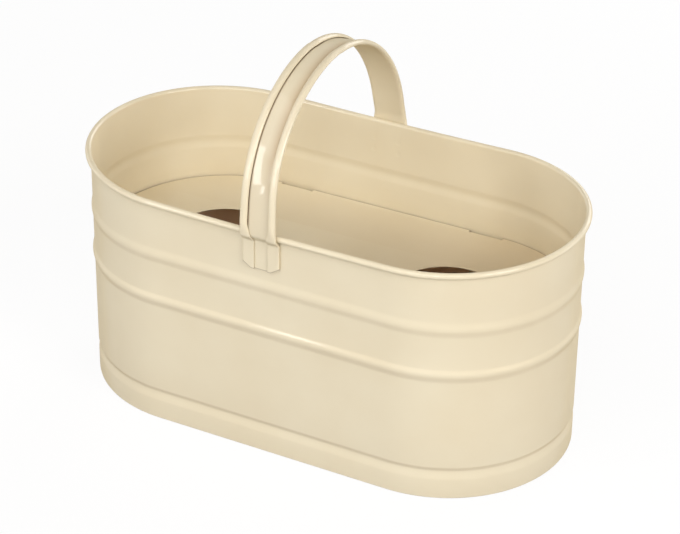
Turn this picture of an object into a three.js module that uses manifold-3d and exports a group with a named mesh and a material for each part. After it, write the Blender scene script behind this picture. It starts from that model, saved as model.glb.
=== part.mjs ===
// A painted sheet-steel carrying basket for wine bottles: an oval tub of two wall sheets, a wire
// in its rim, a raised floor, a strap handle with curled edges, and a loose rack that stands on
// the floor and holds a bottle at each round end.
// Millimetres, +Z up, the long way along X, the front towards -Y, the floor it stands on at Z 0.

import * as THREE from 'three';
import { mergeVertices } from 'three/addons/utils/BufferGeometryUtils.js';
import Module from 'manifold-3d';

const wasm = await Module();
wasm.setup();
const { lerp, smoothstep, degToRad, clamp } = THREE.MathUtils;

// Sheet and clearance
const SHEET = 0.8;
const GAP = 0.3;

// Plan of the tub: two half circles joined by straight sides
const END_CENTRE = 98.5;
const WALL_RADIUS = 99.5;
const ROUND_STEPS = 9;
const STRAIGHT_STEPS = 6;
const FRONT_START = Math.PI;
const BACK_START = 0;

// Rim: a curl round a wire, a little lower along the straight sides than at the ends
const RIM_HEIGHT = 193.6;
const RIM_DIP = 3.5;
const RIM_WIRE = 2.6;
const RIM_TURN = degToRad(285);
const RIM_STEPS = 12;
const WIRE_SIDES = 8;

// Foot: the wall's bottom edge is hemmed up round the floor's flange
const HEM_HEIGHT = 6;
const HEM_STEPS = 3;
const FLOOR_HEIGHT = 17.4;
const FLOOR_BEND = 3;
const FLOOR_STEPS = 4;

// Wall beads and foot groove: middle height, reach below and above it, and how far out they stand
const BEAD_DROP = 47.6;
const BEAD_SPACING = 38;
const GROOVE_RISE = 6.1;
const UPPER_BEAD = { middle: RIM_HEIGHT - BEAD_DROP, below: 7, above: 7, out: 1.5 };
const LOWER_BEAD = { middle: UPPER_BEAD.middle - BEAD_SPACING, below: 7, above: 7, out: 1.7 };
const FOOT_GROOVE = { middle: FLOOR_HEIGHT + GROOVE_RISE, below: 8, above: 4.5, out: -1.3 };
const BEAD_PARTS = [0.35, 0.65, 1];

// Handle: an arch of strap, curled at both edges, pressed flat where it is welded to the wall.
// It stands a little to the left of the middle and leans a little further left at the top.
const HANDLE_ENDS = -5.6;
const HANDLE_TOP = -9;
const HANDLE_RISE = 107.4;
const ARCH_OUT = 2.7;
const ARCH_STEPS = 18;
const FLARE_TURN = degToRad(12);
const STRAP_WIDTH = 27.8;
const STRAP_HEIGHT = 4.05;
const STRAP_CROWN = 0.6;
const WEB_STEPS = 3;
const NECK_WIDTH = 30.4;
const NECK_LENGTH = 55;
const CURL_WIDTH = 6.2;
const CURL_TURN = degToRad(280);
const CURL_STEPS = 10;
const PRESS_LENGTH = 15;
const FOOT_WIDTH = 30.6;
const FOOT_CLEARANCE = 7.2;
const FOOT_FOLD = 9.4;
const FOLD_STEPS = 5;
const CHAMFER_WIDTH = 7;
const CHAMFER_HEIGHT = 4.5;
const JOGGLE_SLOPE = degToRad(40);
const JOGGLE_STEPS = 4;

// Rack: bottle holes near the centres of the round ends, legs folded down from the straight edges
const RACK_STEP = 0.5;
const RACK_CLEARANCE = 1.2;
const HOLE_INSET = 1.5;
const HOLE_RADIUS = 40;
const HOLE_STEPS = 24;
const LEG_WIDTH = 26.5;
const LEG_INSET = 1;
const LEG_BEND = 2;
const LEG_STEPS = 5;
const LEG_RELIEF = 2;

// Colours
const CREAM = 0xe4d9b8;
const CREAM_INSIDE = 0xd9cba6;
const STEEL = 0x8f9194;

// Worked-out sizes
const WALL_LINE = WALL_RADIUS - SHEET / 2;
const WALL_INSIDE = WALL_RADIUS - SHEET;
const RIM_CURL = RIM_WIRE / 2 + GAP + SHEET / 2;
const RIM_CENTRE = WALL_LINE + RIM_CURL;
const RIM_OUTSIDE = RIM_CENTRE + RIM_CURL + SHEET / 2;
const RIM_MIDDLE = RIM_HEIGHT - RIM_DIP;
const FLANGE_LINE = WALL_INSIDE - GAP - SHEET / 2;
const HEM_LINE = FLANGE_LINE - SHEET - GAP;
const HEM_BEND = (WALL_LINE - HEM_LINE) / 3;
const FOOT_LINE = WALL_RADIUS + GAP + SHEET / 2;
const FOOT_BOTTOM = UPPER_BEAD.middle + UPPER_BEAD.above + FOOT_CLEARANCE;
const PASS_LINE = RIM_OUTSIDE + GAP + SHEET / 2;
const ARCH_RADIUS = WALL_RADIUS + ARCH_OUT;
const RACK_EDGE = WALL_INSIDE - RACK_CLEARANCE;
const RACK_HEIGHT = LOWER_BEAD.middle + LOWER_BEAD.above + RACK_STEP;
const HOLE_CENTRE = END_CENTRE - HOLE_INSET;

// A painted steel finish in one colour
function paint(colour) {
  return new THREE.MeshStandardMaterial({ color: colour, roughness: 0.28, metalness: 0 });
}

// Both faces of a thin sheet whose middle follows an open line
function sheetFaces(line, thickness) {
  const left = [];
  const right = [];
  line.forEach((point, i) => {
    const before = line[Math.max(i - 1, 0)];
    const after = line[Math.min(i + 1, line.length - 1)];
    const into = point.clone().sub(before).normalize();
    const out = after.clone().sub(point).normalize();
    const along = into.clone().add(out).normalize();
    const turn = i === 0 || i === line.length - 1 ? 1 : along.dot(into);
    const side = new THREE.Vector2(-along.y, along.x).multiplyScalar(thickness / 2 / turn);
    left.push(point.clone().add(side));
    right.push(point.clone().sub(side));
  });
  return { left, right };
}

// Closed outline of such a sheet, counter-clockwise
function sheetOutline(line, thickness) {
  const { left, right } = sheetFaces(line, thickness);
  return [...right, ...left.reverse()];
}

// Points of an arc, both ends included
function arc(centre, radius, from, turn, steps) {
  return Array.from({ length: steps + 1 }, (_, i) => {
    const angle = from + (turn * i) / steps;
    return new THREE.Vector2(centre.x + radius * Math.cos(angle), centre.y + radius * Math.sin(angle));
  });
}

// Triangles that fill a flat outline, all counter-clockwise
function fill(outline) {
  return THREE.ShapeUtils.triangulateShape(outline, []).map(([a, b, c]) => {
    const ab = outline[b].clone().sub(outline[a]);
    const ac = outline[c].clone().sub(outline[a]);
    return ab.cross(ac) > 0 ? [a, b, c] : [a, c, b];
  });
}

// Skin over a row of rings. With flat outlines for both ends they are closed by caps, and without
// them the last ring joins the first.
function loft(rings, startOutline, endOutline) {
  const count = rings[0].length;
  const index = [];
  const spans = startOutline ? rings.length - 1 : rings.length;
  for (let j = 0; j < spans; j += 1) {
    const here = j * count;
    const next = ((j + 1) % rings.length) * count;
    for (let i = 0; i < count; i += 1) {
      const k = (i + 1) % count;
      index.push(here + i, next + i, next + k);
      index.push(here + i, next + k, here + k);
    }
  }
  if (startOutline) {
    const last = (rings.length - 1) * count;
    fill(startOutline).forEach(([a, b, c]) => index.push(a, b, c));
    fill(endOutline).forEach(([a, b, c]) => index.push(last + a, last + c, last + b));
  }
  const geometry = new THREE.BufferGeometry();
  const positions = rings.flat().flatMap((point) => point.toArray());
  geometry.setAttribute('position', new THREE.Float32BufferAttribute(positions, 3));
  geometry.setIndex(index);
  return geometry;
}

// Geometry to solid and back, for cuts and joins
function toSolid(geometry) {
  const bare = geometry.clone();
  bare.deleteAttribute('normal');
  bare.deleteAttribute('uv');
  const merged = mergeVertices(bare, 1e-4);
  const vertProperties = Float32Array.from(merged.attributes.position.array);
  const triVerts = Uint32Array.from(merged.index.array);
  return new wasm.Manifold(new wasm.Mesh({ numProp: 3, vertProperties, triVerts }));
}

function toGeometry(solid) {
  const { vertProperties, triVerts } = solid.getMesh();
  const geometry = new THREE.BufferGeometry();
  geometry.setAttribute('position', new THREE.Float32BufferAttribute(vertProperties, 3));
  geometry.setIndex(Array.from(triVerts));
  return geometry;
}

function mesh(name, geometry, colour) {
  geometry.computeVertexNormals();
  const node = new THREE.Mesh(geometry, paint(colour));
  node.name = name;
  return node;
}

// One place round the tub: a point on the line between the end centres and the way out from it
function station(x, angle) {
  return { x, out: new THREE.Vector2(Math.cos(angle), Math.sin(angle)) };
}

// Stations along half the tub, counter-clockwise from the end where that half starts. Both ends
// stop short of the middle plane by the turn given.
function halfLoop(first, shortBy) {
  const start = Math.cos(first) * END_CENTRE;
  const quarter = Math.PI / 2;
  const list = [];
  for (let i = 0; i <= ROUND_STEPS; i += 1) {
    list.push(station(start, lerp(first + shortBy, first + quarter, i / ROUND_STEPS)));
  }
  for (let i = 1; i < STRAIGHT_STEPS; i += 1) {
    list.push(station(lerp(start, -start, i / STRAIGHT_STEPS), first + quarter));
  }
  for (let i = 0; i <= ROUND_STEPS; i += 1) {
    const end = first + 2 * quarter - shortBy;
    list.push(station(-start, lerp(first + quarter, end, i / ROUND_STEPS)));
  }
  return list;
}

function fullLoop() {
  return [...halfLoop(FRONT_START, 0).slice(0, -1), ...halfLoop(BACK_START, 0).slice(0, -1)];
}

// How far the rim's dip lowers a height of the wall at a station
function dip(place, height) {
  const reach = (place.x + WALL_RADIUS * place.out.x) / (END_CENTRE + WALL_RADIUS);
  const base = UPPER_BEAD.middle + UPPER_BEAD.above;
  const share = clamp((height - base) / (RIM_HEIGHT - 2 * RIM_CURL - base), 0, 1);
  return RIM_DIP * (1 - reach * reach) * share;
}

// Section points, as distance out and height, carried to a station
function ringAt(place, section) {
  return section.map(({ x: out, y: height }) => new THREE.Vector3(
    place.x + place.out.x * out,
    place.out.y * out,
    height - dip(place, height),
  ));
}

// Smooth swell of a bead or groove at a height
function swell({ middle, below, above, out }, height) {
  const offset = height - middle;
  const share = offset < 0 ? -offset / below : offset / above;
  return share < 1 ? (out * (1 + Math.cos(Math.PI * share))) / 2 : 0;
}

// Heights at which a bead is drawn, from its lower edge to its upper edge
function swellHeights({ middle, below, above }) {
  const under = [...BEAD_PARTS].reverse().map((part) => middle - below * part);
  const over = BEAD_PARTS.map((part) => middle + above * part);
  return [...under, middle, ...over];
}

// Middle line of the wall sheet: hem, foot groove, two beads and the rim curl
function wallLine() {
  const inner = new THREE.Vector2(HEM_LINE + HEM_BEND, HEM_BEND + SHEET / 2);
  const outer = new THREE.Vector2(WALL_LINE - HEM_BEND, HEM_BEND + SHEET / 2);
  const hem = [
    new THREE.Vector2(HEM_LINE, HEM_HEIGHT),
    ...arc(inner, HEM_BEND, Math.PI, Math.PI / 2, HEM_STEPS),
    ...arc(outer, HEM_BEND, -Math.PI / 2, Math.PI / 2, HEM_STEPS),
  ];
  const swells = [FOOT_GROOVE, LOWER_BEAD, UPPER_BEAD];
  const side = swells.flatMap((bead) => swellHeights(bead).map(
    (height) => new THREE.Vector2(WALL_LINE + swell(bead, height), height),
  ));
  const rim = new THREE.Vector2(RIM_CENTRE, RIM_HEIGHT);
  return [...hem, ...side, ...arc(rim, RIM_CURL, Math.PI, -RIM_TURN, RIM_STEPS)];
}

function wall(first) {
  const section = sheetOutline(wallLine(), SHEET);
  const shortBy = GAP / 2 / WALL_RADIUS;
  const rings = halfLoop(first, shortBy).map((place) => ringAt(place, section));
  return loft(rings, section, section);
}

function rimWire() {
  const centre = new THREE.Vector2(RIM_CENTRE, RIM_HEIGHT);
  const section = arc(centre, RIM_WIRE / 2, 0, 2 * Math.PI, WIRE_SIDES).slice(0, -1);
  return loft(fullLoop().map((place) => ringAt(place, section)));
}

// Floor: flat rings from the middle of the top, over the bend, down the flange and back beneath
function floorPanel() {
  const top = FLOOR_HEIGHT - SHEET / 2;
  const foot = SHEET + GAP;
  const bend = new THREE.Vector2(FLANGE_LINE - FLOOR_BEND, top - FLOOR_BEND);
  const line = [
    ...arc(bend, FLOOR_BEND, Math.PI / 2, -Math.PI / 2, FLOOR_STEPS),
    new THREE.Vector2(FLANGE_LINE, foot),
  ];
  const { left, right } = sheetFaces(line, SHEET);
  const places = fullLoop();
  const spots = [...left, ...right.reverse()];
  const rings = spots.map((spot) => places.flatMap((place) => ringAt(place, [spot])));
  const flat = (ring) => ring.map((point) => new THREE.Vector2(point.x, point.y));
  return loft(rings, flat(rings[0]), flat(rings[rings.length - 1]));
}

// Half of the strap's middle line, from beside its middle to its free edge. Press 0 is the oval
// curl of the arch and press 1 the flat fold of the foot.
function strapHalf(press, width) {
  const wide = (CURL_WIDTH - SHEET) / 2;
  const tall = (STRAP_HEIGHT - SHEET) / 2;
  const fold = (SHEET + GAP) / 2;
  const curlStart = (width - CURL_WIDTH) / 2;
  const foldStart = FOOT_WIDTH / 2 - fold - SHEET / 2;
  const flap = FOOT_FOLD - fold - SHEET / 2;
  const points = [];
  for (let i = 1; i <= WEB_STEPS; i += 1) {
    const share = i / (WEB_STEPS + 1);
    const crown = STRAP_CROWN * (1 - share * share) * (1 - press);
    points.push(new THREE.Vector2(lerp(curlStart, foldStart, press) * share, crown));
  }
  for (let i = 0; i <= CURL_STEPS; i += 1) {
    const turn = -Math.PI / 2 + (CURL_TURN * i) / CURL_STEPS;
    const bend = -Math.PI / 2 + (Math.PI * Math.min(i, FOLD_STEPS)) / FOLD_STEPS;
    const past = Math.max(i - FOLD_STEPS, 0) / (CURL_STEPS - FOLD_STEPS);
    const curled = new THREE.Vector2(curlStart + wide * Math.cos(turn), tall * (1 + Math.sin(turn)));
    const foldOut = foldStart + fold * Math.cos(bend) - flap * past;
    const folded = new THREE.Vector2(foldOut, fold * (1 + Math.sin(bend)));
    points.push(curled.lerp(folded, press));
  }
  return points;
}

// Section of the strap at a height: narrowest over the top, wider at the neck, flat at the foot
function strapSection(height, footTop) {
  const press = 1 - smoothstep(height, footTop, footTop + PRESS_LENGTH);
  const width = lerp(NECK_WIDTH, STRAP_WIDTH, smoothstep(height, RIM_HEIGHT, RIM_HEIGHT + NECK_LENGTH));
  const right = strapHalf(press, width);
  const left = right.map((point) => new THREE.Vector2(-point.x, point.y)).reverse();
  const middle = new THREE.Vector2(0, STRAP_CROWN * (1 - press));
  return sheetOutline([...left, middle, ...right], SHEET);
}

// Side view of the strap's front half as distance from the middle plane and height, foot first:
// up the wall, out round the rim bead, then in from its flare and over along the arch
function strapPath() {
  const rim = new THREE.Vector2(RIM_CENTRE, RIM_MIDDLE);
  const hug = arc(rim, PASS_LINE - RIM_CENTRE, -JOGGLE_SLOPE, JOGGLE_SLOPE, JOGGLE_STEPS);
  const footTop = hug[0].y - (hug[0].x - FOOT_LINE) / Math.tan(JOGGLE_SLOPE);
  const foot = [FOOT_BOTTOM, footTop].map((height) => new THREE.Vector2(FOOT_LINE, height));
  const rise = HANDLE_RISE - STRAP_HEIGHT + SHEET / 2;
  const arch = [];
  for (let i = 1; i <= ARCH_STEPS; i += 1) {
    const turn = ((Math.PI / 2) * i) / ARCH_STEPS;
    const reach = lerp(PASS_LINE, ARCH_RADIUS, smoothstep(turn, 0, FLARE_TURN));
    arch.push(new THREE.Vector2(reach * Math.cos(turn), RIM_MIDDLE + rise * Math.sin(turn)));
  }
  return [...foot, ...hug, ...arch];
}

function handleStrap() {
  const front = strapPath();
  const footTop = front[1].y;
  const whole = [
    ...front.map((point) => new THREE.Vector2(-point.x, point.y)),
    ...front.slice(0, -1).reverse(),
  ];
  const sections = whole.map((point) => strapSection(point.y, footTop));
  const rings = whole.map((point, i) => {
    const before = whole[Math.max(i - 1, 0)];
    const after = whole[Math.min(i + 1, whole.length - 1)];
    const along = after.clone().sub(before).normalize();
    const climb = clamp((point.y - RIM_HEIGHT) / HANDLE_RISE, 0, 1);
    return sections[i].map((spot) => new THREE.Vector3(
      lerp(HANDLE_ENDS, HANDLE_TOP, climb) + spot.x,
      point.x - along.y * spot.y,
      point.y + along.x * spot.y,
    ));
  });
  const strap = toSolid(loft(rings, sections[0], sections[sections.length - 1]));
  const corners = [-1, 1].map((side) => toSolid(footCorner(side)));
  return toGeometry(corners.reduce((solid, corner) => solid.subtract(corner), strap));
}

// Wedge that takes one bottom corner off both feet of the strap
function footCorner(side) {
  const edge = FOOT_WIDTH / 2;
  const low = new THREE.Vector2(edge - 2 * CHAMFER_WIDTH, FOOT_BOTTOM - CHAMFER_HEIGHT);
  const high = new THREE.Vector2(edge + CHAMFER_WIDTH, FOOT_BOTTOM + 2 * CHAMFER_HEIGHT);
  const shape = new THREE.Shape([low, new THREE.Vector2(high.x, low.y), high].map(
    (point) => new THREE.Vector2(HANDLE_ENDS + side * point.x, point.y),
  ));
  const depth = 2 * (FOOT_LINE + STRAP_HEIGHT);
  const wedge = new THREE.ExtrudeGeometry(shape, { depth, bevelEnabled: false });
  return wedge.rotateX(Math.PI / 2).translate(0, depth / 2, 0);
}

// Rack: the flat plate with its holes and notches, joined to four folded legs
function bottleRack() {
  const outline = fullLoop().map((place) => new THREE.Vector2(
    place.x + place.out.x * RACK_EDGE,
    place.out.y * RACK_EDGE,
  ));
  const shape = new THREE.Shape(outline);
  [-1, 1].forEach((side) => {
    shape.holes.push(new THREE.Path().absarc(side * HOLE_CENTRE, 0, HOLE_RADIUS, 0, 2 * Math.PI, true));
  });
  const sheet = { depth: SHEET, bevelEnabled: false, curveSegments: HOLE_STEPS };
  const plate = new THREE.ExtrudeGeometry(shape, sheet).translate(0, 0, RACK_HEIGHT - SHEET);
  let rack = toSolid(plate);
  const legX = END_CENTRE - LEG_RELIEF / 2 - LEG_WIDTH / 2;
  const legLine = RACK_EDGE - LEG_INSET - SHEET / 2;
  const notchDepth = LEG_INSET + SHEET + LEG_BEND;
  const notch = new THREE.BoxGeometry(LEG_WIDTH + 2 * LEG_RELIEF, 2 * notchDepth, 4 * SHEET);
  [-1, 1].forEach((end) => [-1, 1].forEach((side) => {
    const cut = notch.clone().translate(end * legX, side * RACK_EDGE, RACK_HEIGHT);
    rack = rack.subtract(toSolid(cut)).add(toSolid(rackLeg(end * legX, side, legLine)));
  }));
  return toGeometry(rack);
}

// One leg: a stub in the plate, the fold and the leg down to the floor
function rackLeg(x, side, legLine) {
  const level = RACK_HEIGHT - SHEET / 2;
  const bend = new THREE.Vector2(legLine - LEG_BEND, level - LEG_BEND);
  const line = [
    new THREE.Vector2(bend.x - LEG_BEND, level),
    ...arc(bend, LEG_BEND, Math.PI / 2, -Math.PI / 2, LEG_STEPS),
    new THREE.Vector2(legLine, FLOOR_HEIGHT + GAP),
  ];
  const section = sheetOutline(line.map((point) => new THREE.Vector2(side * point.x, point.y)), SHEET);
  const rings = [x + LEG_WIDTH / 2, x - LEG_WIDTH / 2].map(
    (place) => section.map((point) => new THREE.Vector3(place, point.x, point.y)),
  );
  return loft(rings, section, section);
}

const tub = new THREE.Group();
tub.add(mesh('front_wall', wall(FRONT_START), CREAM));
tub.add(mesh('back_wall', wall(BACK_START), CREAM));
tub.add(mesh('rim_wire', rimWire(), STEEL));
tub.add(mesh('floor_panel', floorPanel(), CREAM_INSIDE));
tub.add(mesh('handle_strap', handleStrap(), CREAM));

const rack = new THREE.Group();
rack.add(mesh('bottle_rack', bottleRack(), CREAM_INSIDE));

const basket = new THREE.Group();
basket.name = 'wine_bottle_basket';
basket.add(tub, rack);

export default basket;
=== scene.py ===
import contextlib
import math

import bmesh
import bpy
import numpy as np
from mathutils import Matrix, Quaternion, Vector


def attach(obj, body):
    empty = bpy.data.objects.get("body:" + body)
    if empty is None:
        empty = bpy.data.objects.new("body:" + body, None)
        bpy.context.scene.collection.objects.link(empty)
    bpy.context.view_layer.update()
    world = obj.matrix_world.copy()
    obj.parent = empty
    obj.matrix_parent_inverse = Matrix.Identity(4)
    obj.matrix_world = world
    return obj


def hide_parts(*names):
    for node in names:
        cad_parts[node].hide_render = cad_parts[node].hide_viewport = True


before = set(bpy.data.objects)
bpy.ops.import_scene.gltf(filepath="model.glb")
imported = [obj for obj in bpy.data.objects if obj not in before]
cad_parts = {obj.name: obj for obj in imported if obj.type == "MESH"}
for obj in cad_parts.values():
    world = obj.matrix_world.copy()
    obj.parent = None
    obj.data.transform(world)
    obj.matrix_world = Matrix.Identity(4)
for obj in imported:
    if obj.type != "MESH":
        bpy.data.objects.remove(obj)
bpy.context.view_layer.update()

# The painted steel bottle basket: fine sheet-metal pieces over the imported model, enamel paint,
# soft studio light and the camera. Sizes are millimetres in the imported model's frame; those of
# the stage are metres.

# A millimetre in metres, a length that counts as none, a quarter turn, and the least cosine of a
# direction that counts as straight up or straight out
MM = 0.001
TINY = 1e-6
QUARTER = math.pi / 2
STRAIGHT_ON = 0.99

# Sheet: its thickness, the gap between joined sheets, and how its edges and bends are drawn
SHEET = 0.8
GAP = 0.3
EDGE_STEPS = 4
MITRE_LIMIT = 0.5

# Plan of the tub: two half rounds joined by straight sides, and how closely it is drawn
END_CENTRE = 98.5
WALL_RADIUS = 99.5
QUARTER_STEPS = 36
STRAIGHT_PITCH = 2.6
END_CLEAR = 1.0

# Rim: the wall's top edge, curled round a wire, which dips along the straight sides
RIM_HEIGHT = 193.6
RIM_DIP = 3.5
DIP_START = 153.0
RIM_WIRE = 2.6
RIM_TURN = math.radians(285)
RIM_STEPS = 26
WIRE_SIDES = 14

# Foot: the wall's bottom edge, hemmed round the flange of the raised floor
HEM_HEIGHT = 6.0
HEM_STRAIGHT = 2.5
HEM_STEPS = 5
FLOOR_HEIGHT = 17.4
FLOOR_BEND = 3.0
FLOOR_STEPS = 8
FLOOR_RINGS = (20.0, 60.0, 88.0)
FLANGE_PLAY = 0.4

# Beads and groove of the wall: middle, reach below, reach above, how far out
UPPER_BEAD = (146.0, 7.0, 7.0, 1.05)
LOWER_BEAD = (108.0, 7.4, 5.0, 1.4)
FOOT_GROOVE = (23.5, 8.0, 4.5, -1.3)
BEADS = (FOOT_GROOVE, LOWER_BEAD, UPPER_BEAD)
BEAD_POINTS = 19
PLAIN_HEIGHTS = (50.0, 70.0, 90.0, 127.0)

# Painted shade on the wall: a tan shade where the outer face looks down, and a warm painted
# shade on the inner face from just below the rack's plate downwards, for the shade deep in the tub
WALL_TAN_SHADE = 0.16
SLOPE_STEP = 0.2
STEEP_SLOPE = 0.35
INNER_MARGIN = 0.2
WARM_STARTS = 2.0
WARM_FULL = 22.0

# Handle: a strap with curled edges over the middle, pressed flat at both feet
HANDLE_ENDS = -5.6
HANDLE_TOP = -9.0
HANDLE_RISE = 107.4
FRONT_BOW = 2.0
ARCH_RADIUS = WALL_RADIUS + 2.7
FLARE_TURN = math.radians(12)
STRAP_WIDTH = 27.8
STRAP_HEIGHT = 4.05
STRAP_CROWN = 0.6
NECK_FRONT = 29.4
NECK_BACK = 27.2
NECK_LENGTH = 55.0
CURL_WIDTH = 6.0
CURL_TURN = math.radians(272)
PRESS_LENGTH = 15.0
FOOT_WIDTH = 30.6
FOOT_CLEARANCE = 7.2
FOOT_FOLD = 9.4
CHAMFER_WIDTH = 7.0
CHAMFER_HEIGHT = 4.5
JOGGLE_SLOPE = math.radians(40)
JOGGLE_BEND = 4.0

# How finely the strap is drawn: across its web, round its curl or fold, and along its path
WEB_STEPS = 10
CURL_STEPS = 24
FOLD_STEPS = 12
FOOT_POINTS = 7
FOOT_LEAD = 2.0
JOGGLE_STEPS = 6
HUG_STEPS = 8
ARCH_TURNS = np.radians(np.concatenate([np.linspace(0.6, 12, 16), np.linspace(13.5, 90, 52)]))

# Painted shade on the strap: shares of dark and of tan shade, and how much of a share is lost
FRONT_ARM_SHADE = 0.12
WEB_TAN_SHADE = 0.75
CREVICE_CLOSES = 0.8
CREST_PALE = 0.8

# Where those tones come and go: in drawn steps past the start of the curl, in distance behind
# the crest, in height above the rim, and in distance to the right of the strap's middle
LEFT_CREVICE_STEPS = (-3.35, -2.75)
RIGHT_CREVICE_STEPS = (-1.6, -0.8)
TAN_SHADE_STEPS = (0, 4)
CLOSES_BEHIND = (10, 24)
PALE_BEHIND = (15, 35)
FRONT_SHADE_ABOVE = (65, 95)
TAN_SHADE_ABOVE = (15, 60)
TAN_SHADE_ACROSS = (-2, 9)

# Cut edges of the handle's feet: lines scored beside them, and the width and share of the line of
# painted shade along them
FOOT_REGION = 12.0
FOOT_EDGE_LINES = (0.45, 0.75)
FOOT_EDGE_WIDTH = 0.5
FOOT_EDGE_SHADE = 0.4

# Spot welds of the handle's feet: places across the foot, heights, size, and the share of the
# radius that is flat
WELD_ACROSS = (-10.6, 10.6)
WELD_HEIGHTS = (166.5, 176.5)
WELD_RADIUS = 2.6
WELD_FLAT = 0.45
WELD_DEPTH = 0.22

# The wall is drawn more closely round each weld
WELD_PATCH = 3.4
PATCH_POINTS_ACROSS = 15
PATCH_POINTS_UP = 13
BETWEEN_WELDS = (-4.0, 0.0, 4.0)
PATCH_CLEAR = 4.5

# Rack: a loose plate with two bottle holes and four legs folded down
RACK_EDGE = 97.5
RACK_HEIGHT = 115.5
RACK_EDGE_ROUND = 0.12
HOLE_CENTRE = END_CENTRE - 1.5
HOLE_RADIUS = 40.0
ROUND_STEPS = 96
LEG_WIDTH = 26.5
LEG_INSET = 1.0
LEG_BEND = 2.0
LEG_RELIEF = 0.8
LEG_MIDDLE = END_CENTRE - 1.0 - LEG_WIDTH / 2
LEG_BEND_STEPS = 8
LEG_CUTS = (25.0, 50.0, 75.0)
LEG_PLAY = 0.3
FOLD_MARGIN = 12.0

# How the loose rack happens to lie; the tilt is a slope about a line at TILT_AXIS
HOLE_SHIFT = (-1.4, 1.3)
RACK_SLID = (0.3, 0.6)
RACK_TILT = 0.0075
TILT_AXIS = -75.0

# Painted shade on the rack: a thin dark line along the plate's edge, and a tan shade that grows,
# per metre, to the right and to the front
PLATE_TOP_MARGIN = 0.05
PLATE_EDGE_LINES = (0.4, 0.2)
PLATE_EDGE_RANGE = (-0.1, 0.55)
PLATE_EDGE_SHADE = 0.35
RACK_TAN_SHADE = 0.22
RACK_SHADE_RIGHT = 2.4
RACK_SHADE_FRONT = 3.0
RACK_SHADE_MOST = 0.45

# Worked-out sizes
WALL_LINE = WALL_RADIUS - SHEET / 2
WALL_INSIDE = WALL_RADIUS - SHEET
RIM_CURL = RIM_WIRE / 2 + GAP + SHEET / 2
RIM_CENTRE = WALL_LINE + RIM_CURL
RIM_MIDDLE = RIM_HEIGHT - RIM_DIP
FLANGE_LINE = WALL_INSIDE - GAP - SHEET / 2
HEM_LINE = FLANGE_LINE - SHEET - GAP
HEM_BEND = (WALL_LINE - HEM_LINE) / 3
FOOT_LINE = WALL_RADIUS + GAP + SHEET / 2
FOOT_BOTTOM = DIP_START + FOOT_CLEARANCE
PASS_LINE = RIM_CENTRE + RIM_CURL + SHEET / 2 + GAP + SHEET / 2
RACK_LEVEL = RACK_HEIGHT - SHEET / 2
LEG_FOLD = RACK_EDGE - LEG_INSET - SHEET - LEG_BEND
LEG_CURVE = LEG_BEND * math.pi / 2
LEG_DROP = (RACK_LEVEL - LEG_BEND) - (FLOOR_HEIGHT + GAP)
LEG_TAB = LEG_CURVE + LEG_DROP

# Colours of the paint and of its painted shade, the wire, the floor and the lamps
CREAM_DEEP = (0.738, 0.647, 0.467)
CREAM_PALE = (0.765, 0.684, 0.509)
CREAM_INNER_SHADE = (0.94, 0.7, 0.49)
TAN_SHADE_COLOUR = (0.58, 0.43, 0.26)
DARK_SHADE_BROWN = (0.13, 0.065, 0.03)
WIRE_DARK = (0.30, 0.30, 0.31)
WIRE_PALE = (0.52, 0.52, 0.53)
FLOOR_LIT = (0.5, 0.5, 0.5)
FLOOR_SEEN = (0.95, 0.95, 0.95)
WHITE = (1, 1, 1)
WARM = (1.0, 0.8, 0.58)

# White floor: its size, and how white it looks from the object outwards
FLOOR_REACH = 6.0
FLOOR_SIDES = 96
FLOOR_ROUGHNESS = 0.9
FLOOR_FADE = (0.8, 2.0)
FLOOR_WHITENESS = (0.9, 1.0)

# Sky: the slope over which it fades upwards, and its strength at both ends
SKY_FADE = (0.2, 0.45)
SKY_STRENGTH = (1.0, 0.3)

# Lamps: degrees round from the front and up, distance, width, height and watts, then where they
# differ from plain white and upright the colour and the lean in degrees
LAMP_AIM = 0.12
LAMPS = (
    ("key front", 0, 25, 2.2, 1.4, 0.7, 13.6),
    ("key right", 67, 30, 2.2, 1.0, 1.0, 22.5),
    ("camera side", 28, 36, 2.3, 0.9, 0.7, 9),
    ("top left", -38, 52, 2.2, 2.0, 1.5, 12),
    ("back high", 170, 42, 2.2, 1.4, 0.8, 4),
    ("warm left", -55, 10, 2.2, 1.2, 0.6, 3.3, WARM),
    ("warm right", 80, 12, 2.2, 1.4, 0.7, 5.5, WARM),
    ("warm top", 0, 80, 2.2, 1.4, 1.0, 4, WARM),
    ("window", -32.3, 23, 2.0, 0.24, 0.95, 5, WHITE, 18.5),
    ("low strip", -22.8, 8.5, 2.0, 0.09, 0.2, 0.45),
    ("back key", 178, 20, 2.2, 1.4, 0.9, 19),
    ("back low right", 140, 10, 2.2, 1.8, 0.9, 9),
    ("back low left", -108, 10, 2.2, 1.8, 0.9, 10),
)

# Camera: degrees round from the front, up and of roll, distance and height of aim, then the
# focal length, the image's size and the optical axis in pixels
CAMERA_AROUND = 27.87
CAMERA_UP = 30.67
CAMERA_ROLL = 0.61
CAMERA_DISTANCE = 1.929
CAMERA_AIM = 0.0968
CAMERA_CLIP = (0.1, 50.0)
FOCAL_LENGTH = 2499.0
IMAGE_SIZE = (680, 534)
IMAGE_AXIS = (332.4, 285.1)
SENSOR = 36.0


def lerp(a, b, share):
    return a + (b - a) * share


def smooth(value, start, end):
    share = np.clip((value - start) / (end - start), 0, 1)
    return share * share * (3 - 2 * share)


def arc(centre, radius, start, turn, steps):
    angles = start + turn * np.linspace(0, 1, steps + 1)
    return np.stack([centre[0] + radius * np.cos(angles), centre[1] + radius * np.sin(angles)], 1)


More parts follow.
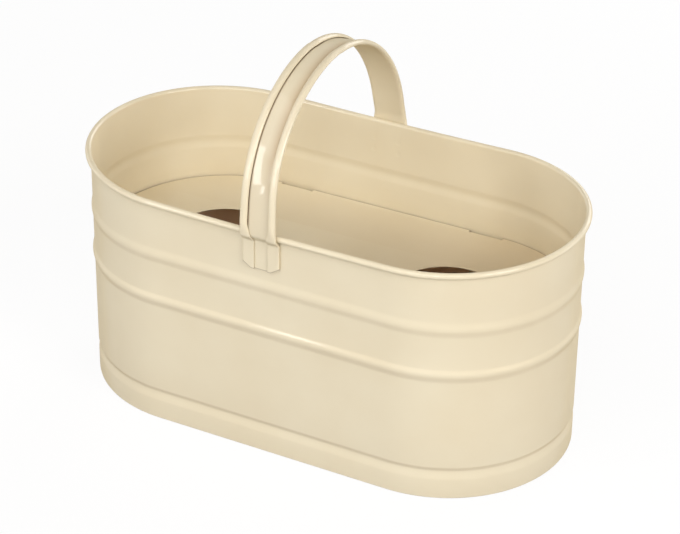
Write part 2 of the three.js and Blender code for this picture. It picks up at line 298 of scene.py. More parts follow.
def sheet_faces(line):
    """Left and right faces of a sheet whose middle follows a line of points."""
    step = np.diff(line, axis=0)
    step /= np.linalg.norm(step, axis=1)[:, None]
    into = np.vstack([step[:1], step])
    out = np.vstack([step, step[-1:]])
    along = into + out
    along /= np.linalg.norm(along, axis=1)[:, None]
    turn = np.clip((along * into).sum(1), MITRE_LIMIT, 1)
    side = np.stack([-along[:, 1], along[:, 0]], 1) * (SHEET / 2 / turn)[:, None]
    return line + side, line - side, along


def sheet_outline(line):
    """Closed outline of a sheet with both free edges rounded: right face first, then left."""
    left, right, along = sheet_faces(line)

    def edge(centre, first, towards):
        x, y = first - centre
        start = math.atan2(y, x)
        points = arc(centre, SHEET / 2, start, math.pi, EDGE_STEPS)[1:-1]
        if (points[len(points) // 2] - centre) @ towards < 0:
            points = arc(centre, SHEET / 2, start, -math.pi, EDGE_STEPS)[1:-1]
        return points

    far = edge(line[-1], right[-1], along[-1])
    near = edge(line[0], left[0], -along[0])
    return np.vstack([right, far, left[::-1], near])


# Meshes


def grid_mesh(name, rings, closed=False):
    """A skin over closed rings of points. The last ring joins the first, or both get a cap."""
    rings = np.asarray(rings)
    count = rings.shape[1]
    spans = len(rings) if closed else len(rings) - 1
    faces = []
    for j in range(spans):
        here = j * count
        there = ((j + 1) % len(rings)) * count
        for i in range(count):
            k = (i + 1) % count
            faces.append((here + i, there + i, there + k, here + k))
    if not closed:
        last = (len(rings) - 1) * count
        faces.append(tuple(range(count)))
        faces.append(tuple(last + i for i in reversed(range(count))))
    data = bpy.data.meshes.new(name)
    data.from_pydata((rings.reshape(-1, 3) * MM).tolist(), [], faces)
    data.validate()
    return data


def mark(data, name, values):
    """Keeps a number for each point of a mesh, for the paint to read."""
    layer = data.attributes.new(name, "FLOAT", "POINT")
    layer.data.foreach_set("value", np.asarray(values, np.float32))


def point_values(data, name):
    values = np.zeros(len(data.vertices) * 3)
    data.vertices.foreach_get(name, values)
    return values.reshape(-1, 3)


@contextlib.contextmanager
def editing(data):
    """Opens a mesh for cutting and writes it back."""
    bm = bmesh.new()
    bm.from_mesh(data)
    yield bm
    bm.to_mesh(data)
    bm.free()


def score(bm, faces, point, normal):
    """Cuts a line of new edges across some faces, where a plane meets them."""
    edges = list({e for f in faces for e in f.edges})
    verts = list({v for f in faces for v in f.verts})
    bmesh.ops.bisect_plane(bm, geom=faces + edges + verts, plane_co=point, plane_no=normal)


def face_outwards(data):
    with editing(data) as bm:
        bmesh.ops.recalc_face_normals(bm, faces=bm.faces)


def shade_smooth(data, sharp_angle=None):
    data.polygons.foreach_set("use_smooth", [True] * len(data.polygons))
    if sharp_angle is not None:
        data.set_sharp_from_angle(angle=math.radians(sharp_angle))
    data.update()


def add_piece(name, data, body, node, material):
    """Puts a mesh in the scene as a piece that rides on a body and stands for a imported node."""
    piece = bpy.data.objects.new(name, data)
    bpy.context.scene.collection.objects.link(piece)
    data.materials.clear()
    data.materials.append(material)
    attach(piece, body)
    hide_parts(node)


# Stations round the tub: a point between the end centres and the way out from it


def half_loop(first):
    """Half of the plan from an angle on: a quarter round, a straight side, a quarter round."""
    start = math.cos(first) * END_CENTRE
    turn = np.linspace(0, QUARTER, QUARTER_STEPS + 1)
    straight = straight_places(first)
    xs = np.concatenate([np.full(len(turn), start), straight, np.full(len(turn), -start)])
    angles = np.concatenate([
        first + turn,
        np.full(len(straight), first + QUARTER),
        first + QUARTER + turn,
    ])
    return xs, np.stack([np.cos(angles), np.sin(angles)], 1)


def full_loop():
    front, back = half_loop(math.pi), half_loop(0)
    xs = np.concatenate([front[0][:-1], back[0][:-1]])
    return xs, np.concatenate([front[1][:-1], back[1][:-1]])


def straight_places(first):
    """Places along a straight side, closer together behind the handle's foot."""
    plain = np.arange(-END_CENTRE + STRAIGHT_PITCH, END_CENTRE - END_CLEAR, STRAIGHT_PITCH)
    low = HANDLE_ENDS + WELD_ACROSS[0] - PATCH_CLEAR
    high = HANDLE_ENDS + WELD_ACROSS[1] + PATCH_CLEAR
    plain = plain[(plain < low) | (plain > high)]
    patch = np.linspace(-WELD_PATCH, WELD_PATCH, PATCH_POINTS_ACROSS)
    fine = [HANDLE_ENDS + across + patch for across in WELD_ACROSS]
    between = HANDLE_ENDS + np.array(BETWEEN_WELDS)
    places = np.sort(np.concatenate([plain, *fine, between]))
    return places[::-1] if math.cos(first) > 0 else places


def dip(xs, out, heights):
    """How far the rim's dip lowers each height at each station."""
    reach = (xs + WALL_RADIUS * out[:, 0]) / (END_CENTRE + WALL_RADIUS)
    share = np.clip((heights - DIP_START) / (RIM_HEIGHT - 2 * RIM_CURL - DIP_START), 0, 1)
    return RIM_DIP * (1 - reach * reach)[:, None] * share[None, :]


def rings_at(xs, out, section):
    """A section of distance out and height, carried to every station."""
    reach, heights = section[:, 0], section[:, 1]
    x = xs[:, None] + out[:, 0:1] * reach[None, :]
    y = out[:, 1:2] * reach[None, :]
    z = heights[None, :] - dip(xs, out, heights)
    return np.stack([x, y, z], 2)


# Tub: two wall sheets, the wire in their rim and the raised floor


def swell(bead, heights):
    middle, below, above, out = bead
    offset = heights - middle
    share = np.where(offset < 0, -offset / below, offset / above)
    return np.where(share < 1, out * (1 + np.cos(np.pi * np.clip(share, 0, 1))) / 2, 0)


def beads_out(heights):
    """How far the beads and the groove carry the wall out at each height."""
    return sum(swell(bead, heights) for bead in BEADS)


def faces_down(heights):
    """How much the wall's outer face looks down: below a bead and above the groove."""
    rise = beads_out(heights + SLOPE_STEP) - beads_out(heights - SLOPE_STEP)
    return np.clip(rise / (2 * SLOPE_STEP) / STEEP_SLOPE, 0, 1)


def wall_line():
    """Middle of the wall's section, from the hem's free edge to the end of the rim's curl."""
    inner = (HEM_LINE + HEM_BEND, HEM_BEND + SHEET / 2)
    outer = (WALL_LINE - HEM_BEND, HEM_BEND + SHEET / 2)
    hem = np.vstack([
        [[HEM_LINE, HEM_HEIGHT], [HEM_LINE, HEM_HEIGHT - HEM_STRAIGHT]],
        arc(inner, HEM_BEND, math.pi, QUARTER, HEM_STEPS),
        arc(outer, HEM_BEND, -QUARTER, QUARTER, HEM_STEPS),
    ])
    parts = [PLAIN_HEIGHTS]
    for middle, below, above, _ in BEADS:
        parts.append(np.linspace(middle - below, middle + above, BEAD_POINTS))
    for height in WELD_HEIGHTS:
        parts.append(height + np.linspace(-WELD_PATCH, WELD_PATCH, PATCH_POINTS_UP))
    heights = np.unique(np.round(np.concatenate(parts), 4))
    sheet = np.stack([WALL_LINE + beads_out(heights), heights], 1)
    rim = arc((RIM_CENTRE, RIM_HEIGHT), RIM_CURL, math.pi, -RIM_TURN, RIM_STEPS)
    return np.vstack([hem, sheet, rim])


def press_welds(rings, out):
    """Shallow round marks that the spot welds leave on the inner face behind the handle's foot."""
    straight = np.abs(out[:, 1:2]) > STRAIGHT_ON
    for across in WELD_ACROSS:
        for height in WELD_HEIGHTS:
            away = np.hypot(rings[:, :, 0] - HANDLE_ENDS - across, rings[:, :, 2] - height)
            inside = np.abs(rings[:, :, 1]) < WALL_LINE
            dent = WELD_DEPTH * (1 - smooth(away, WELD_FLAT * WELD_RADIUS, WELD_RADIUS))
            rings[:, :, 1] += np.where(inside & straight, np.sign(rings[:, :, 1]) * dent, 0)
    return rings


def side_normals(normals, stations):
    """Vertex normals without the end caps: level with the tub's middle plane at both ends."""
    normals = normals.reshape(stations, -1, 3).copy()
    for end, inner in ((0, 1), (-1, -2)):
        normals[end] = normals[inner]
        normals[end, :, 1] = 0
        normals[end] /= np.linalg.norm(normals[end], axis=1)[:, None]
    return normals.reshape(-1, 3)


def wall_piece(name, node, first, material):
    section = sheet_outline(wall_line())
    reach, heights = section[:, 0], section[:, 1]
    xs, out = half_loop(first)
    data = grid_mesh(name, press_welds(rings_at(xs, out, section), out))
    inner = reach < WALL_LINE - INNER_MARGIN + beads_out(heights)
    # Warm painted shade on the inner face below the rack's plate
    warm = inner * (1 - smooth(heights, RACK_HEIGHT - WARM_FULL, RACK_HEIGHT - WARM_STARTS))
    mark(data, "painted_inner_shade", np.tile(warm, len(xs)))
    # Tan painted shade on the outer face where it looks down, below the beads and above the groove
    mark(data, "painted_tan_shade", np.tile(WALL_TAN_SHADE * ~inner * faces_down(heights), len(xs)))
    face_outwards(data)
    shade_smooth(data)
    normals = side_normals(point_values(data, "normal"), len(xs))
    data.normals_split_custom_set_from_vertices(normals.tolist())
    add_piece(name, data, "tub", node, material)


def rim_wire_piece(material):
    section = arc((RIM_CENTRE, RIM_HEIGHT), RIM_WIRE / 2, 0, 2 * math.pi, WIRE_SIDES)[:-1]
    xs, out = full_loop()
    data = grid_mesh("rim_wire_round", rings_at(xs, out, section), closed=True)
    face_outwards(data)
    shade_smooth(data, sharp_angle=60)
    add_piece("rim_wire_round", data, "tub", "rim_wire", material)


def floor_piece(material):
    top = FLOOR_HEIGHT - SHEET / 2
    bend = (FLANGE_LINE - FLOOR_BEND, top - FLOOR_BEND)
    line = np.vstack([
        [[reach, top] for reach in FLOOR_RINGS],
        arc(bend, FLOOR_BEND, QUARTER, -QUARTER, FLOOR_STEPS),
        [[FLANGE_LINE, SHEET + GAP + FLANGE_PLAY]],
    ])
    left, right, _ = sheet_faces(line)
    spots = np.vstack([left, right[::-1]])
    xs, out = full_loop()
    data = grid_mesh("floor_tray", rings_at(xs, out, spots).transpose(1, 0, 2))
    upper = np.arange(len(spots)) < len(left)
    # The floor's upper face takes the warm painted shade of the inside
    mark(data, "painted_inner_shade", np.repeat(upper.astype(float), len(xs)))
    face_outwards(data)
    shade_smooth(data, sharp_angle=45)
    add_piece("floor_tray", data, "tub", "floor_panel", material)


# Handle strap


def strap_half(press, width):
    """Right half of the strap's middle line: curled, or pressed to a flat fold, or between."""
    wide = (CURL_WIDTH - SHEET) / 2
    tall = (STRAP_HEIGHT - SHEET) / 2
    fold = (SHEET + GAP) / 2
    curl_start = (width - CURL_WIDTH) / 2
    fold_start = FOOT_WIDTH / 2 - fold - SHEET / 2
    flap = FOOT_FOLD - fold - SHEET / 2
    share = np.arange(1, WEB_STEPS) / WEB_STEPS
    crown = STRAP_CROWN * (1 - share * share) * (1 - press)
    web = np.stack([lerp(curl_start, fold_start, press) * share, crown], 1)
    steps = np.arange(CURL_STEPS + 1)
    turn = -QUARTER + CURL_TURN * steps / CURL_STEPS
    curled = np.stack([curl_start + wide * np.cos(turn), tall * (1 + np.sin(turn))], 1)
    bend = -QUARTER + math.pi * np.minimum(steps, FOLD_STEPS) / FOLD_STEPS
    past = np.maximum(steps - FOLD_STEPS, 0) / (CURL_STEPS - FOLD_STEPS)
    folded_x = fold_start + fold * np.cos(bend) - flap * past
    folded = np.stack([folded_x, fold * (1 + np.sin(bend))], 1)
    return np.vstack([web, lerp(curled, folded, press)])


def strap_tones(across, place, above_rim, press):
    """Shares of dark and of tan painted shade over the strap's outer face, from left to right."""
    turned = np.abs(np.arange(len(across)) - len(across) // 2) - WEB_STEPS
    # Dark painted shade in the seam where each curl meets the web, fading towards the back arm
    left, right = smooth(turned, *LEFT_CREVICE_STEPS), smooth(turned, *RIGHT_CREVICE_STEPS)
    dark = np.where(across < 0, left, right) * (1 - press)
    dark *= 1 - CREVICE_CLOSES * smooth(place, *CLOSES_BEHIND)
    # Painted shade darkening the front arm's outer face below the crest
    front_shade = FRONT_ARM_SHADE * (place < 0) * (1 - press) * (1 - smooth(above_rim, *FRONT_SHADE_ABOVE))
    # Tan painted shade on the right of the web beside the right curl, paler at the crest
    upper = smooth(above_rim, *TAN_SHADE_ABOVE) * (1 - CREST_PALE * smooth(place, *PALE_BEHIND))
    web = smooth(across, *TAN_SHADE_ACROSS) * (1 - smooth(turned, *TAN_SHADE_STEPS))
    return np.maximum(dark, front_shade), WEB_TAN_SHADE * web * upper


def strap_section(place, height, foot_top):
    """The strap's outline at a point of its path, and its shares of dark and of tan painted shade.
    """
    press = 1 - smooth(height, foot_top, foot_top + PRESS_LENGTH)
    neck = NECK_FRONT if place < 0 else NECK_BACK
    width = lerp(neck, STRAP_WIDTH, smooth(height, RIM_HEIGHT, RIM_HEIGHT + NECK_LENGTH))
    right = strap_half(press, width)
    left = right[::-1] * [-1, 1]
    middle = [[0, STRAP_CROWN * (1 - press)]]
    line = np.vstack([left, middle, right])
    outline = sheet_outline(line)
    inner = np.zeros(len(line))
    edge = np.zeros((len(outline) - 2 * len(line)) // 2)
    tones = strap_tones(line[:, 0], place, height - RIM_HEIGHT, press)
    return outline, [np.concatenate([inner, edge, tone[::-1], edge]) for tone in tones]


def strap_path():
    """Side view of half the handle, foot first: distance from the middle plane and height."""
    hug_radius = PASS_LINE - RIM_CENTRE
    hug = arc((RIM_CENTRE, RIM_MIDDLE), hug_radius, -JOGGLE_SLOPE, JOGGLE_SLOPE, HUG_STEPS)
    foot_top = hug[0, 1] - (hug[0, 0] - FOOT_LINE) / math.tan(JOGGLE_SLOPE)
    bend_start = foot_top - JOGGLE_BEND * math.tan(JOGGLE_SLOPE / 2)
    bend_centre = (FOOT_LINE + JOGGLE_BEND, bend_start)
    bend = arc(bend_centre, JOGGLE_BEND, math.pi, -JOGGLE_SLOPE, JOGGLE_STEPS)
    foot_heights = np.linspace(FOOT_BOTTOM, bend_start - FOOT_LEAD, FOOT_POINTS)
    foot = np.stack([np.full(FOOT_POINTS, FOOT_LINE), foot_heights], 1)
    reach = lerp(PASS_LINE, ARCH_RADIUS, smooth(ARCH_TURNS, 0, FLARE_TURN))
    rise = HANDLE_RISE - STRAP_HEIGHT + SHEET / 2
    arch = np.stack([reach * np.cos(ARCH_TURNS), RIM_MIDDLE + rise * np.sin(ARCH_TURNS)], 1)
    return np.vstack([foot, bend, hug, arch]), foot_top


def handle_piece(material):
    half, foot_top = strap_path()
    path = np.vstack([half * [-1, 1], half[:-1][::-1]])
    along = np.vstack([path[1:2] - path[:1], path[2:] - path[:-2], path[-1:] - path[-2:-1]])
    along /= np.linalg.norm(along, axis=1)[:, None]
    rings, tones = [], []
    for (place, height), way in zip(path, along):
        section, tone = strap_section(place, height, foot_top)
        climb = min(max((height - RIM_HEIGHT) / HANDLE_RISE, 0), 1)
        bow = FRONT_BOW * 4 * climb * (1 - climb) * (place < 0)
        x = lerp(HANDLE_ENDS, HANDLE_TOP, climb) - bow + section[:, 0]
        y = place - way[1] * section[:, 1]
        z = height + way[0] * section[:, 1]
        rings.append(np.stack([x, y, z], 1))
        tones.append(tone)
    data = grid_mesh("handle_curled_strap", rings)
    for name, values in zip(("painted_dark_shade", "painted_tan_shade"), zip(*tones)):
        mark(data, name, np.concatenate(values))
    face_outwards(data)
    cut_foot_corners(data)
    shade_smooth(data, sharp_angle=50)
    add_piece("handle_curled_strap", data, "tub", "handle_strap", material)


def cut_foot_corners(data):
    """Cuts the corners off both feet and paints a line of dark shade along their edges."""
    planes = [(Vector((0, 0, FOOT_BOTTOM)) * MM, Vector((0, 0, -1)))]
    region_top = (FOOT_BOTTOM + FOOT_REGION) * MM
    with editing(data) as bm:
        for side in (-1, 1):
            corner = HANDLE_ENDS + side * (FOOT_WIDTH / 2 - CHAMFER_WIDTH)
            point = Vector((corner, 0, FOOT_BOTTOM)) * MM
            normal = Vector((side * CHAMFER_HEIGHT, 0, -CHAMFER_WIDTH)).normalized()
            whole = bm.verts[:] + bm.edges[:] + bm.faces[:]
            cut = bmesh.ops.bisect_plane(
                bm, geom=whole, plane_co=point, plane_no=normal, clear_outer=True,
            )
            edges = [e for e in cut["geom_cut"] if isinstance(e, bmesh.types.BMEdge)]
            bmesh.ops.holes_fill(bm, edges=edges, sides=0)
            planes.append((point, normal))
        for inset in FOOT_EDGE_LINES:
            for point, normal in planes:
                feet = [f for f in bm.faces if f.calc_center_median().z < region_top]
                score(bm, feet, point - normal * inset * MM, normal)
        # A line of dark painted shade along the feet's cut edges
        layer = bm.verts.layers.float["painted_dark_shade"]
        for vert in bm.verts:
            depth = min((point - vert.co).dot(normal) for point, normal in planes)
            if depth < FOOT_EDGE_WIDTH * MM:
                vert[layer] = FOOT_EDGE_SHADE


# Bottle rack: cut flat with its legs as tabs, then the tabs folded down


def flat_outline():
    """The rack's outline before folding, clockwise from the middle of the back edge."""
    low, high = LEG_MIDDLE - LEG_WIDTH / 2, LEG_MIDDLE + LEG_WIDTH / 2
    tip = LEG_FOLD + LEG_TAB
    side = np.array([
        (0.0, RACK_EDGE),
        (low - LEG_RELIEF, RACK_EDGE),
        (low - LEG_RELIEF, LEG_FOLD),
        (low, LEG_FOLD),
        (low, tip),
        (high, tip),
        (high, LEG_FOLD),
        (high + LEG_RELIEF, LEG_FOLD),
    ])
    bow = arc((END_CENTRE, 0), RACK_EDGE, QUARTER, -math.pi, ROUND_STEPS)
    right = np.vstack([side, bow, side[::-1] * [1, -1]])
    left = right[1:-1][::-1] * [-1, 1]
    return np.vstack([right, left])


def flat_plate(name):
    """The sheet before folding, with both holes and slightly rounded edges."""
    curve = bpy.data.curves.new("rack_flat", "CURVE")
    curve.dimensions = "2D"
    curve.fill_mode = "BOTH"
    curve.extrude = (SHEET / 2 - RACK_EDGE_ROUND) * MM
    curve.bevel_depth = RACK_EDGE_ROUND * MM
    curve.bevel_resolution = 1
    curve.offset = -RACK_EDGE_ROUND * MM
    circle = arc((0, 0), HOLE_RADIUS, 0, 2 * math.pi, ROUND_STEPS)[:-1]
    centre, shift = np.array([HOLE_CENTRE, 0]), np.array(HOLE_SHIFT)
    for points in (flat_outline(), circle + centre + shift, circle - centre + shift):
        spline = curve.splines.new("POLY")
        spline.points.add(len(points) - 1)
        flat = np.column_stack([points * MM, np.zeros(len(points)), np.ones(len(points))])
        spline.points.foreach_set("co", flat.ravel())
        spline.use_cyclic_u = True
    holder = bpy.data.objects.new("rack_flat", curve)
    bpy.context.scene.collection.objects.link(holder)
    shape = holder.evaluated_get(bpy.context.evaluated_depsgraph_get())
    data = bpy.data.meshes.new_from_object(shape)
    bpy.data.objects.remove(holder)
    bpy.data.curves.remove(curve)
    data.name = name
    data.transform(Matrix.Translation((0, 0, RACK_LEVEL * MM)))
    with editing(data) as bm:
        bmesh.ops.remove_doubles(bm, verts=bm.verts, dist=TINY)
    return data


def shade_edges(data):
    """Paints a narrow line of dark shade along the plate's outer edge, for the shaded gap at the
    wall.
    """
    mark(data, "painted_dark_shade", np.zeros(len(data.vertices)))
    lowest = (RACK_HEIGHT - PLATE_TOP_MARGIN) * MM
    low, high = PLATE_EDGE_RANGE
    with editing(data) as bm:
        level = [f for f in bm.faces if f.normal.z > STRAIGHT_ON]
        upper = [f for f in level if f.calc_center_median().z > lowest]
        for width in PLATE_EDGE_LINES:
            bmesh.ops.inset_region(
                bm, faces=upper, thickness=width * MM, use_boundary=True, use_even_offset=True,
            )
        # A line of dark painted shade just inside the plate's outer edge
        layer = bm.verts.layers.float["painted_dark_shade"]
        for vert in bm.verts:
            x, y = max(abs(vert.co.x) / MM - END_CENTRE, 0), abs(vert.co.y) / MM
            if low < RACK_EDGE - math.hypot(x, y) < high:
                vert[layer] = PLATE_EDGE_SHADE


def fold_legs(data):
    """Bends the four tabs down along their fold lines."""
    start = LEG_FOLD + SHEET / 2
    lines = [*np.linspace(0, LEG_CURVE, LEG_BEND_STEPS + 1), *(LEG_CURVE + np.array(LEG_CUTS))]
    region = (start - FOLD_MARGIN) * MM
    low = (LEG_MIDDLE - LEG_WIDTH / 2 - LEG_PLAY) * MM
    high = (LEG_MIDDLE + LEG_WIDTH / 2 + LEG_PLAY) * MM
    with editing(data) as bm:
        for side in (-1, 1):
            for line in lines:
                outer = [f for f in bm.faces if side * f.calc_center_median().y > region]
                point = Vector((0, side * (start + line), 0)) * MM
                score(bm, outer, point, Vector((0, side, 0)))
        for vert in bm.verts:
            x, y, z = vert.co
            past = abs(y) / MM - start
            if past <= TINY or not low < abs(x) < high:
                continue
            height = z / MM - RACK_LEVEL
            if past < LEG_CURVE:
                angle = past / LEG_BEND
                radius = LEG_BEND + height
                out = start + radius * math.sin(angle)
                up = RACK_LEVEL - LEG_BEND + radius * math.cos(angle)
            else:
                out = start + LEG_BEND + height
                up = RACK_LEVEL - LEG_BEND - (past - LEG_CURVE)
            vert.co = Vector((x, math.copysign(out * MM, y), up * MM))


def settle(data):
    """The loose rack has slid a little to the back and right, and its plate rises to the right."""
    spots = point_values(data, "co")
    share = np.clip((spots[:, 2] / MM - FLOOR_HEIGHT) / (RACK_HEIGHT - FLOOR_HEIGHT), 0, 1)
    spots[:, :2] += np.array(RACK_SLID) * MM
    spots[:, 2] += RACK_TILT * (spots[:, 0] - TILT_AXIS * MM) * share
    data.vertices.foreach_set("co", spots.ravel())
    # Tan painted shade on the plate, growing to the right and to the front
    painted_tan_shade = RACK_TAN_SHADE + RACK_SHADE_RIGHT * spots[:, 0] - RACK_SHADE_FRONT * spots[:, 1]
    mark(data, "painted_tan_shade", np.clip(painted_tan_shade, 0, RACK_SHADE_MOST))


def rack_piece(material):
    data = flat_plate("rack_folded_sheet")
    shade_edges(data)
    fold_legs(data)
    settle(data)
    face_outwards(data)
    shade_smooth(data, sharp_angle=35)
    add_piece("rack_folded_sheet", data, "rack", "bottle_rack", material)


# Materials


def new_material(name):
    material = bpy.data.materials.new(name)
    material.use_nodes = True
    nodes = material.node_tree.nodes
    return material, nodes, material.node_tree.links, nodes["Principled BSDF"]


def noise(nodes, links, vector, name, scale, detail):
    node = nodes.new("ShaderNodeTexNoise")
    node.name = name
    node.inputs["Scale"].default_value = scale
    node.inputs["Detail"].default_value = detail
    links.new(vector, node.inputs["Vector"])
    return node.outputs["Fac"]


def ramp(nodes, links, value, name, stops):
    """Turns a value into a colour between two stops."""
    node = nodes.new("ShaderNodeValToRGB")
    node.name = name
    for element, (place, colour) in zip(node.color_ramp.elements, stops):
        element.position = place
        element.color = (*colour, 1)
    links.new(value, node.inputs["Fac"])
    return node.outputs["Color"]


def span(nodes, links, value, source, target, kind="LINEAR"):
    """Carries a value from one range to another and holds it at the ends."""
    node = nodes.new("ShaderNodeMapRange")
    node.interpolation_type = kind
    sockets = ("From Min", "From Max", "To Min", "To Max")
    for socket, number in zip(sockets, (*source, *target)):
        node.inputs[socket].default_value = number
    links.new(value, node.inputs["Value"])
    return node.outputs["Result"]


def combine(nodes, links, operation, first, second):
    node = nodes.new("ShaderNodeMath")
    node.operation = operation
    links.new(first, node.inputs[0])
    links.new(second, node.inputs[1])
    return node.outputs[0]


def bump(nodes, links, height, strength, distance):
    node = nodes.new("ShaderNodeBump")
    node.inputs["Strength"].default_value = strength
    node.inputs["Distance"].default_value = distance
    links.new(height, node.inputs["Height"])
    return node


def mix_colours(nodes, links, share, first, second):
    """A blend of two colours, each fixed or from a node."""
    mix = nodes.new("ShaderNodeMix")
    mix.data_type = "RGBA"
    links.new(share, mix.inputs[0])
    sockets = [socket for socket in mix.inputs if socket.type == "RGBA"]
    for socket, colour in zip(sockets, (first, second)):
        if isinstance(colour, tuple):
            socket.default_value = (*colour, 1)
        else:
            links.new(colour, socket)
    return next(socket for socket in mix.outputs if socket.type == "RGBA")


def mix_surfaces(nodes, links, share, first, second, output):
    mix = nodes.new("ShaderNodeMixShader")
    links.new(share, mix.inputs["Fac"])
    links.new(first.outputs[0], mix.inputs[1])
    links.new(second.outputs[0], mix.inputs[2])
    links.new(mix.outputs[0], nodes[output].inputs["Surface"])


def enamel():
    """Glossy stoved enamel on sheet steel: slight drift of tone, orange peel, sheet waviness.

    Marks on the meshes paint shade into its colour, and its gloss fades towards grazing angles."""
    material, nodes, links, shader = new_material("cream enamel")
    place = nodes.new("ShaderNodeTexCoord").outputs["Object"]
    drift = noise(nodes, links, place, "tone drift", scale=14, detail=3)
    tone = ramp(nodes, links, drift, "tone", [(0.3, CREAM_DEEP), (0.7, CREAM_PALE)])
    # Painted shade: a warm tone inside below the rack, a tan shade, and a dark shade in seams and
    # along edges
    tints = (("painted_inner_shade", CREAM_INNER_SHADE), ("painted_tan_shade", TAN_SHADE_COLOUR), ("painted_dark_shade", DARK_SHADE_BROWN))
    for attribute, colour in tints:
        share = nodes.new("ShaderNodeAttribute")
        share.attribute_name = attribute
        tone = mix_colours(nodes, links, share.outputs["Fac"], tone, colour)
    links.new(tone, shader.inputs["Base Color"])
    haze = noise(nodes, links, place, "haze", scale=45, detail=2)
    roughness = span(nodes, links, haze, source=(0, 1), target=(0.06, 0.1))
    links.new(roughness, shader.inputs["Roughness"])
    facing = nodes.new("ShaderNodeLayerWeight").outputs["Facing"]
    gloss = span(nodes, links, facing, source=(0.25, 0.72), target=(0.45, 0), kind="SMOOTHSTEP")
    links.new(gloss, shader.inputs["Specular IOR Level"])
    peel = noise(nodes, links, place, "orange peel", scale=700, detail=1)
    wave = noise(nodes, links, place, "sheet waviness", scale=22, detail=1)
    fine = bump(nodes, links, peel, strength=0.02, distance=0.0002)
    coarse = bump(nodes, links, wave, strength=0.06, distance=0.002)
    links.new(fine.outputs["Normal"], coarse.inputs["Normal"])
    links.new(coarse.outputs["Normal"], shader.inputs["Normal"])
    return material


def drawn_wire():
    material, nodes, links, shader = new_material("drawn steel wire")
    place = nodes.new("ShaderNodeTexCoord").outputs["Object"]
    streak = noise(nodes, links, place, "draw marks", scale=300, detail=4)
    tone = ramp(nodes, links, streak, "steel tone", [(0.25, WIRE_DARK), (0.75, WIRE_PALE)])
    links.new(tone, shader.inputs["Base Color"])
    roughness = span(nodes, links, streak, source=(0, 1), target=(0.28, 0.45))
    links.new(roughness, shader.inputs["Roughness"])
    shader.inputs["Metallic"].default_value = 1.0
    return material


# Stage, light and camera


def seen(nodes, links):
    """1 for what the camera, a reflection or a see-through surface shows, otherwise 0."""
    path = nodes.new("ShaderNodeLightPath").outputs
    mirrored = combine(nodes, links, "MAXIMUM", path["Is Camera Ray"], path["Is Glossy Ray"])
    return combine(nodes, links, "MAXIMUM", mirrored, path["Is Transmission Ray"])


def floor_white():
    """White for the camera and for reflections, which still takes the object's shadow."""
    material, nodes, links, diffuse = new_material("floor white")
    shown = seen(nodes, links)
    tone = mix_colours(nodes, links, shown, FLOOR_LIT, FLOOR_SEEN)
    links.new(tone, diffuse.inputs["Base Color"])
    diffuse.inputs["Roughness"].default_value = FLOOR_ROUGHNESS
    diffuse.inputs["Specular IOR Level"].default_value = 0.0
    away = nodes.new("ShaderNodeVectorMath")
    away.operation = "LENGTH"
    links.new(nodes.new("ShaderNodeNewGeometry").outputs["Position"], away.inputs[0])
    fade = span(nodes, links, away.outputs["Value"], FLOOR_FADE, FLOOR_WHITENESS)
    share = combine(nodes, links, "MULTIPLY", shown, fade)
    white = nodes.new("ShaderNodeEmission")
    mix_surfaces(nodes, links, share, diffuse, white, "Material Output")
    return material


def make_floor():
    bm = bmesh.new()
    bmesh.ops.create_circle(bm, cap_ends=True, segments=FLOOR_SIDES, radius=FLOOR_REACH)
    data = bpy.data.meshes.new("floor")
    bm.to_mesh(data)
    bm.free()
    floor = bpy.data.objects.new("floor", data)
    bpy.context.scene.collection.objects.link(floor)
    data.materials.append(floor_white())


def make_world():
    """A sky that gives no light but is seen and mirrored: white low down, greyer above."""
    world = bpy.data.worlds.new("studio")
    bpy.context.scene.world = world
    world.use_nodes = True
    nodes, links = world.node_tree.nodes, world.node_tree.links
    unlit = nodes["Background"]
    unlit.inputs["Strength"].default_value = 0.0
    white = nodes.new("ShaderNodeBackground")
    white.inputs["Color"].default_value = (*WHITE, 1)
    way = nodes.new("ShaderNodeSeparateXYZ")
    links.new(nodes.new("ShaderNodeTexCoord").outputs["Generated"], way.inputs[0])
    fade = span(nodes, links, way.outputs["Z"], SKY_FADE, SKY_STRENGTH)
    links.new(fade, white.inputs["Strength"])
    mix_surfaces(nodes, links, seen(nodes, links), unlit, white, "World Output")


def direction(around, up):
    """The way from the object to a lamp or camera, from degrees round from the front and up."""
    a, e = math.radians(around), math.radians(up)
    return Vector((math.sin(a) * math.cos(e), -math.cos(a) * math.cos(e), math.sin(e)))


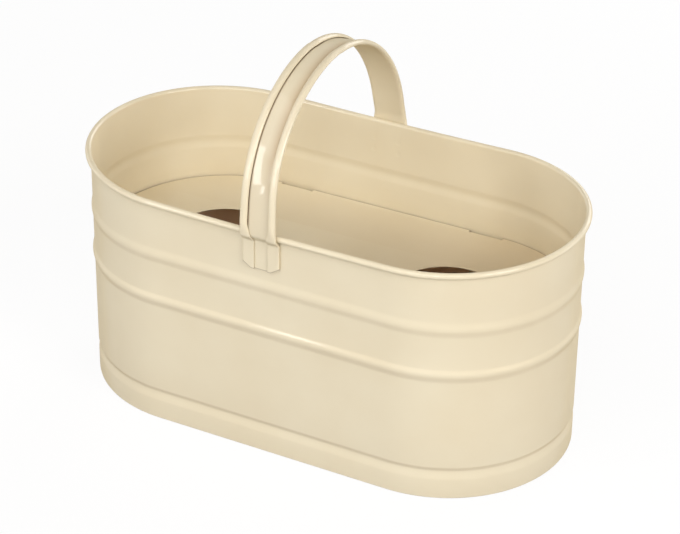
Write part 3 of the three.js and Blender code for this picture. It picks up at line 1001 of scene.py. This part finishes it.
def soft_light(name, around, up, distance, width, height, watts, colour=WHITE, lean=0):
    """An area light that faces the object and is not itself seen by the camera."""
    back = direction(around, up)
    data = bpy.data.lights.new(name, "AREA")
    data.shape = "RECTANGLE"
    data.size = width
    data.size_y = height
    data.energy = watts
    data.color = colour
    lamp = bpy.data.objects.new(name, data)
    lamp.location = Vector((0, 0, LAMP_AIM)) + back * distance
    lamp.rotation_mode = "QUATERNION"
    roll = Quaternion((0, 0, 1), math.radians(lean))
    lamp.rotation_quaternion = (-back).to_track_quat("-Z", "Y") @ roll
    bpy.context.scene.collection.objects.link(lamp)
    lamp.visible_camera = False


def make_camera():
    """The photograph's camera, worked out from the rim, the base and the beads."""
    around, roll = math.radians(CAMERA_AROUND), math.radians(CAMERA_ROLL)
    width, height = IMAGE_SIZE
    back = direction(CAMERA_AROUND, CAMERA_UP)
    flat_right = Vector((math.cos(around), math.sin(around), 0))
    flat_up = back.cross(flat_right)
    right = flat_right * math.cos(roll) + flat_up * math.sin(roll)
    up = flat_up * math.cos(roll) - flat_right * math.sin(roll)
    data = bpy.data.cameras.new("camera")
    data.sensor_width = SENSOR
    data.lens = FOCAL_LENGTH / width * SENSOR
    data.shift_x = (width / 2 - IMAGE_AXIS[0]) / width
    data.shift_y = (IMAGE_AXIS[1] - height / 2) / width
    data.clip_start, data.clip_end = CAMERA_CLIP
    camera = bpy.data.objects.new("camera", data)
    turn = Matrix((right, up, back)).transposed().to_4x4()
    spot = Vector((0, 0, CAMERA_AIM)) + back * CAMERA_DISTANCE
    camera.matrix_world = Matrix.Translation(spot) @ turn
    bpy.context.scene.collection.objects.link(camera)
    bpy.context.scene.camera = camera


make_camera()
make_floor()
make_world()
for lamp in LAMPS:
    soft_light(*lamp)

paint = enamel()
wall_piece("front_wall_sheet", "front_wall", math.pi, paint)
wall_piece("back_wall_sheet", "back_wall", 0.0, paint)
rim_wire_piece(drawn_wire())
floor_piece(paint)
handle_piece(paint)
rack_piece(paint)

bpy.context.scene.view_settings.view_transform = "Standard"
